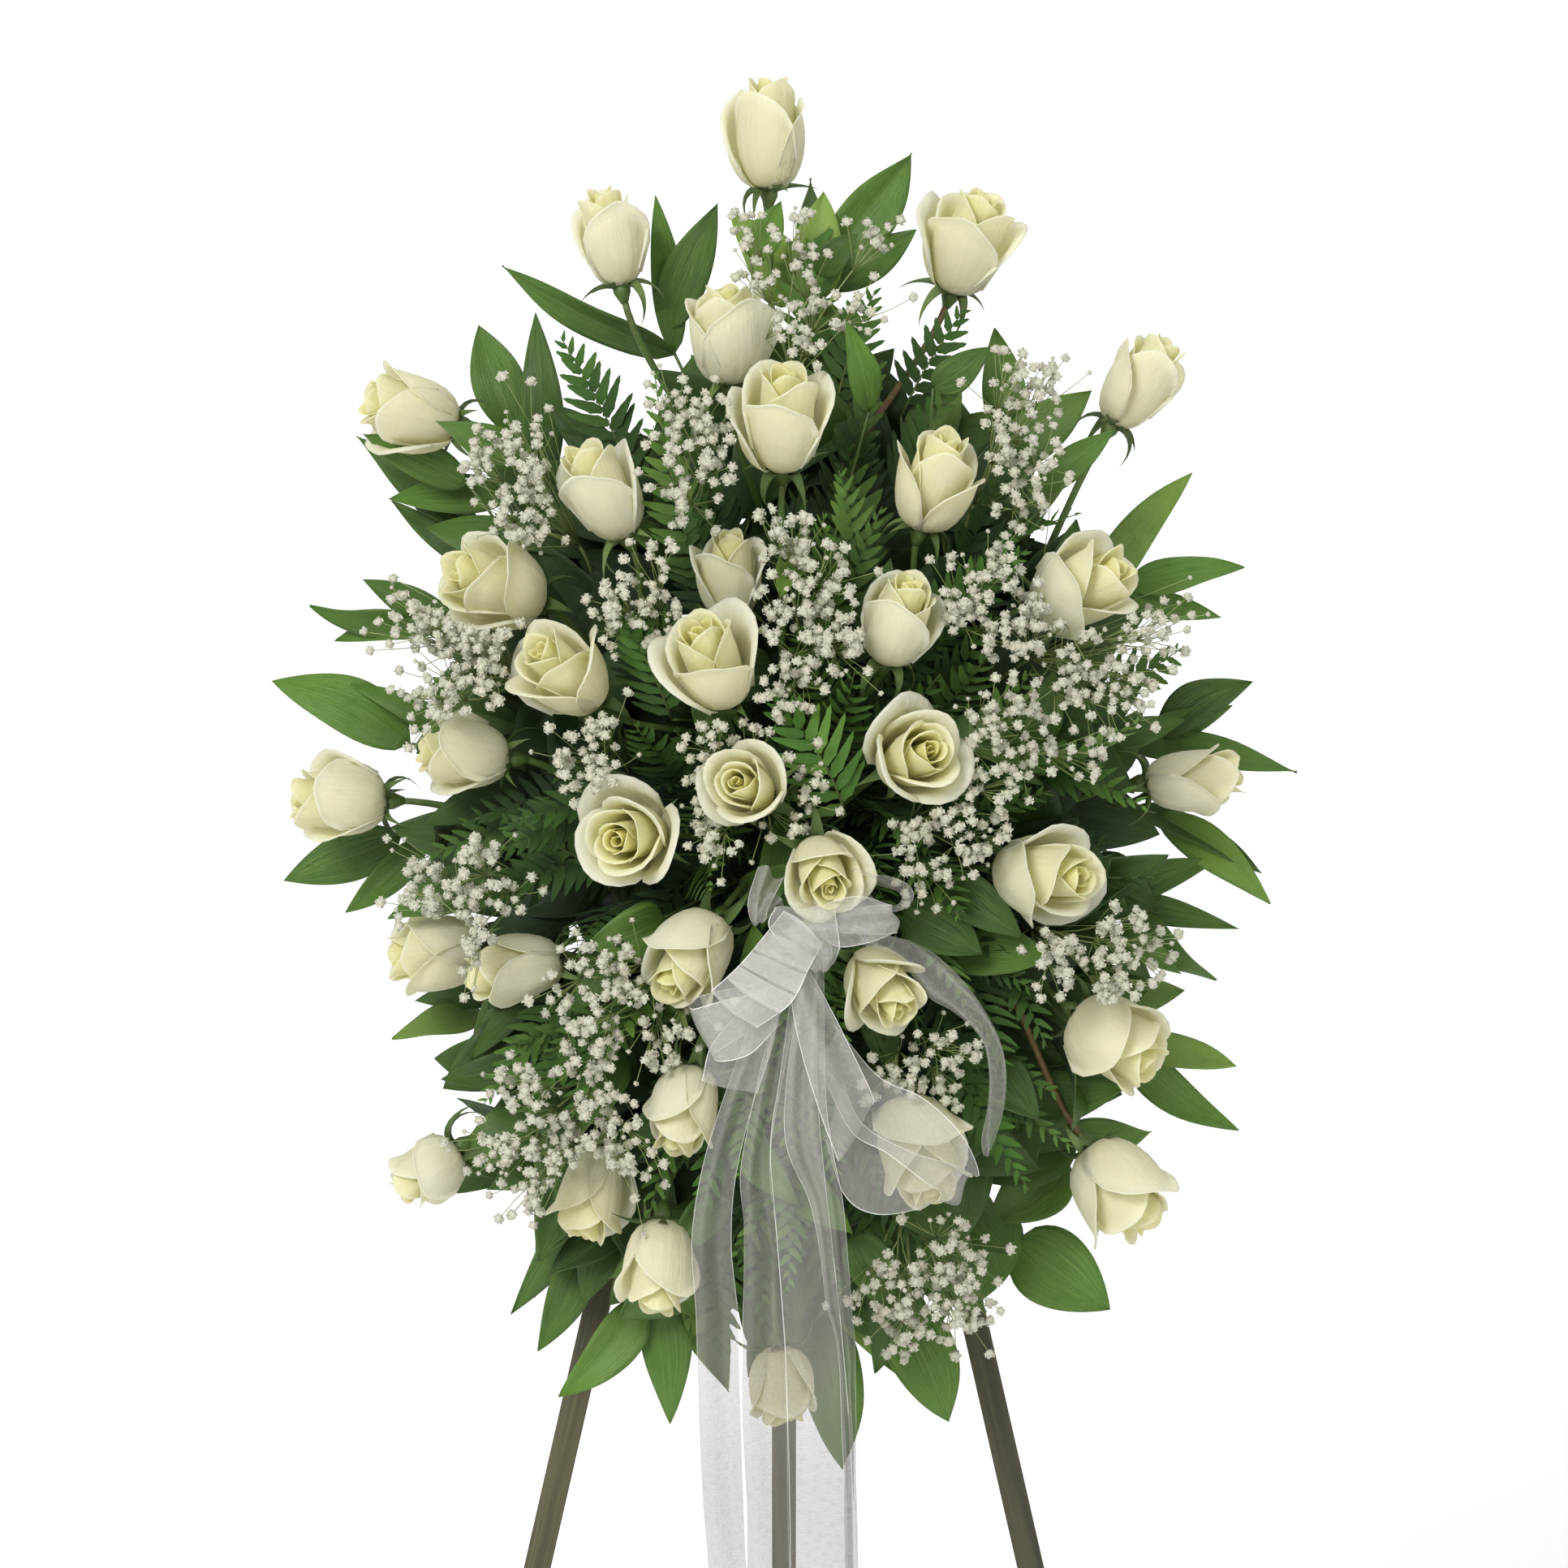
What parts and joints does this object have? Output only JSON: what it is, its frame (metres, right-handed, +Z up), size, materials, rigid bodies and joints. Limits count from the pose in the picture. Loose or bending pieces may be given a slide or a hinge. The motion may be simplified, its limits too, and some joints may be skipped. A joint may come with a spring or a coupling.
{
  "type": "standing rose arrangement",
  "caption": "Standing spray of white roses with leafy sprigs, fern, baby's breath and a sheer ribbon, held in foam on a folding three-legged wooden easel.",
  "frame": {"origin": "on the floor, under the middle of the whole object", "axes": "+Z up, the flowers face -Y, +X to the viewer's right"},
  "size_m": [0.6252, 0.7888, 1.456],
  "materials": {
    "petals": "soft matt ivory petals, pale yellow-green in their depths",
    "foliage": "deep green leaves with a slight gloss and paler veins",
    "babys_breath": "small matt white florets on thin green stalks",
    "sheer_ribbon": "sheer white organza with denser woven edges",
    "stained_wood": "olive-brown stained softwood with a fine straight grain",
    "wet_foam": "soaked green floral foam, fine open cells, matt",
    "tray_plastic": "dark green moulded plastic",
    "steel": "plain zinc-plated steel"
  },
  "bodies": {
    "stand": {"leg_left": "stained_wood", "leg_right": "stained_wood", "crossbar_upper": "stained_wood", "crossbar_lower": "stained_wood", "head_block": "stained_wood", "hinge_bracket": "steel", "hinge_bolt": "steel", "tray": "tray_plastic", "foam": "wet_foam", "ribbon": "sheer_ribbon", "rose_01": "petals", "rose_02": "petals", "rose_03": "petals", "rose_04": "petals", "rose_05": "petals", "rose_06": "petals", "rose_07": "petals", "rose_08": "petals", "rose_09": "petals", "rose_10": "petals", "rose_11": "petals", "rose_12": "petals", "rose_13": "petals", "rose_14": "petals", "rose_15": "petals", "rose_16": "petals", "rose_17": "petals", "rose_18": "petals", "rose_19": "petals", "rose_20": "petals", "rose_21": "petals", "rose_22": "petals", "rose_23": "petals", "rose_24": "petals", "rose_25": "petals", "rose_26": "petals", "rose_27": "petals", "rose_28": "petals", "rose_29": "petals", "rose_30": "petals", "rose_31": "petals", "rose_32": "petals", "rose_33": "petals", "rose_34": "petals", "rose_35": "petals", "greens_top": "foliage", "greens_upper_left": "foliage", "greens_upper_right": "foliage", "greens_lower_left": "foliage", "greens_lower_right": "foliage", "greens_bottom": "foliage", "greens_front_upper": "foliage", "greens_front_lower": "foliage", "breath_top": "babys_breath", "breath_upper_left": "babys_breath", "breath_upper_right": "babys_breath", "breath_centre": "babys_breath", "breath_lower_left": "babys_breath", "breath_lower_right": "babys_breath"},
    "rear_leg": {"rear_leg": "stained_wood"}
  },
  "joints": [
    {"name": "rear_leg_fold", "type": "hinge", "parent": "stand", "child": "rear_leg", "pos_m": [0, 0.01755, 1.13441], "axis": [1, 0, 0], "range_deg": [-31, 0]}
  ]
}
